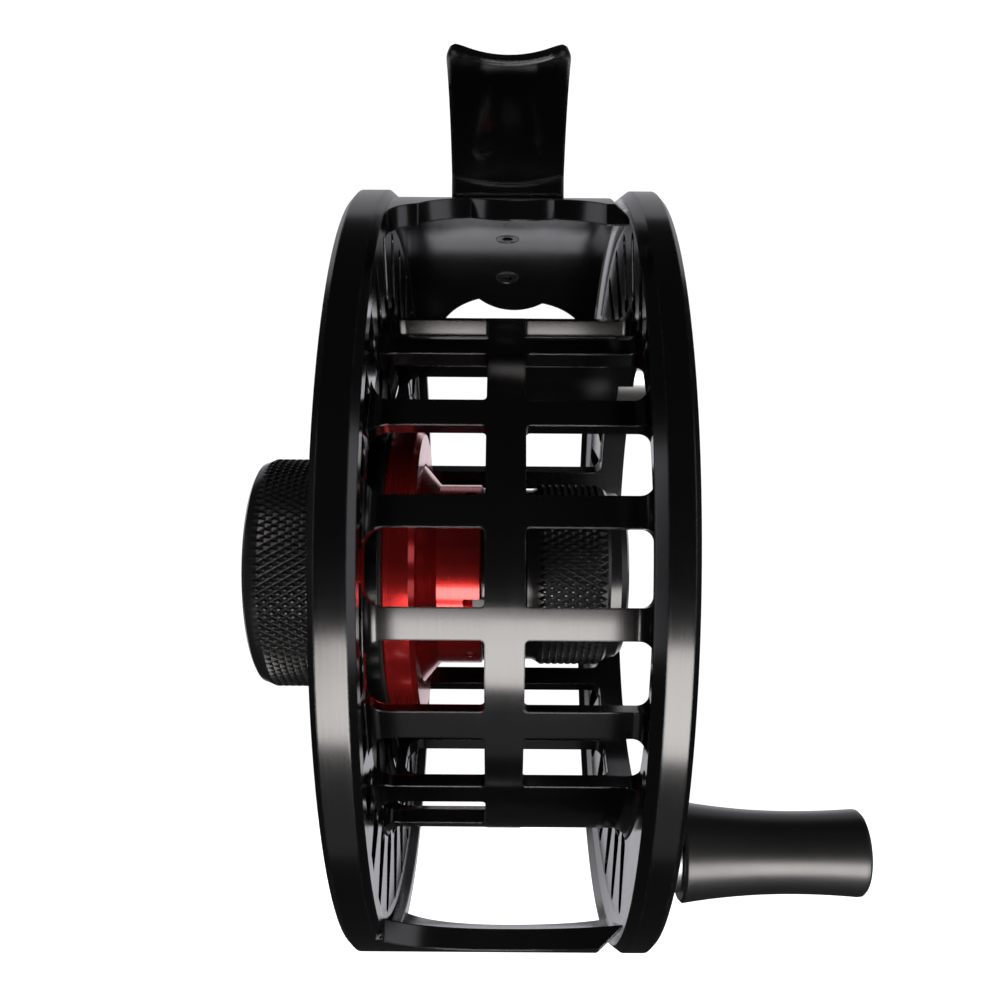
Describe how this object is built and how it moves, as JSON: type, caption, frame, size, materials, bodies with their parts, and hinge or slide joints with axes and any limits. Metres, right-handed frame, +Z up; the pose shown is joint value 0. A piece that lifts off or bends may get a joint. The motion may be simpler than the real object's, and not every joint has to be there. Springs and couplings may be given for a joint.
{
  "type": "fly reel",
  "caption": "Large-arbor fly fishing reel with ported frame and spool, sealed disc drag with a knurled drag knob, knurled spool release cap and a turned handle.",
  "frame": {"origin": "middle of the hollow seat on top of the foot, where it meets the rod", "axes": "+Z up out of the seat towards the rod, +X along the spool axis to the handle side, +Y along the rod"},
  "size_m": [0.0763, 0.1, 0.1072],
  "materials": {
    "frame_black": "gloss black anodised",
    "foot_black": "gloss black anodised",
    "spool_black": "gloss black anodised, turned",
    "knob_black": "satin black anodised, diamond knurl",
    "cap_black": "satin black anodised, coarse diamond knurl",
    "grip_black": "satin black anodised, fine turning lines",
    "red_anodised": "bright red anodised",
    "stainless": "turned stainless steel",
    "bright_steel": "bright polished steel",
    "dark_steel": "blackened steel screws",
    "spring_steel": "spring steel",
    "bearing_steel": "ground bearing steel",
    "brass": "turned brass",
    "carbon_disc": "matt carbon fibre composite",
    "rubber": "matt nitrile rubber"
  },
  "bodies": {
    "frame": {"frame": "frame_black", "reel_foot": "foot_black", "foot_screws": "dark_steel", "spindle": "stainless", "spindle_nut": "stainless", "drag_housing": "red_anodised", "housing_gasket": "rubber", "housing_screws": "dark_steel", "shaft_seal": "rubber", "pressure_plate": "stainless", "push_pins": "stainless", "thrust_washer": "stainless", "guide_pins": "stainless", "inner_drag_disc": "carbon_disc", "outer_drag_disc": "carbon_disc", "bearing_spacer": "stainless", "hub_clip": "spring_steel", "left_bearing_inner_ring": "bearing_steel", "right_bearing_inner_ring": "bearing_steel", "knob_stop_screw": "stainless"},
    "drag_knob": {"drag_knob": "knob_black", "click_ball": "bearing_steel", "click_spring": "spring_steel"},
    "drag_nut": {"drag_nut": "brass", "drag_springs": "spring_steel"},
    "drag_hub": {"drag_hub": "red_anodised", "drag_rotor": "stainless", "clutch_shell": "bearing_steel", "drive_keys": "dark_steel", "hub_set_screws": "stainless", "clutch_rollers": "bearing_steel", "left_bearing_outer_ring": "bearing_steel", "left_bearing_balls": "bearing_steel", "right_bearing_outer_ring": "bearing_steel", "right_bearing_balls": "bearing_steel"},
    "spool": {"spool_arbor": "spool_black", "spool_web": "spool_black", "spool_boss": "spool_black", "spool_left_flange": "spool_black", "spool_right_flange": "spool_black", "cap_clip": "spring_steel", "handle_post": "stainless", "handle_washer": "stainless", "handle_screw": "dark_steel", "counterweight": "bright_steel", "counterweight_screw": "dark_steel"},
    "release_cap": {"release_cap": "cap_black", "latch_spring": "spring_steel"},
    "handle": {"handle_grip": "grip_black", "handle_bushings": "brass"}
  },
  "joints": [
    {"name": "spool_spin", "type": "hinge", "parent": "frame", "child": "drag_hub", "pos_m": [0, 0, -0.0558], "axis": [1, 0, 0], "continuous": true},
    {"name": "spool_release", "type": "slide", "parent": "drag_hub", "child": "spool", "axis": [1, 0, 0], "range_m": [0, 0.042]},
    {"name": "cap_turn", "type": "hinge", "parent": "spool", "child": "release_cap", "pos_m": [0, 0, -0.0558], "axis": [1, 0, 0], "range_deg": [0, 90]},
    {"name": "handle_spin", "type": "hinge", "parent": "spool", "child": "handle", "pos_m": [0, -0.0195, -0.08958], "axis": [1, 0, 0], "continuous": true},
    {"name": "knob_turn", "type": "hinge", "parent": "frame", "child": "drag_knob", "pos_m": [0, 0, -0.0558], "axis": [1, 0, 0], "range_deg": [0, 330]},
    {"name": "nut_slide", "type": "slide", "parent": "frame", "child": "drag_nut", "axis": [1, 0, 0], "range_m": [0, 0.00092], "deforming": ["drag_springs"]}
  ],
  "couplings": [
    {"joint": "nut_slide", "follows": "knob_turn", "m_per_rad": 0.00015915}
  ]
}
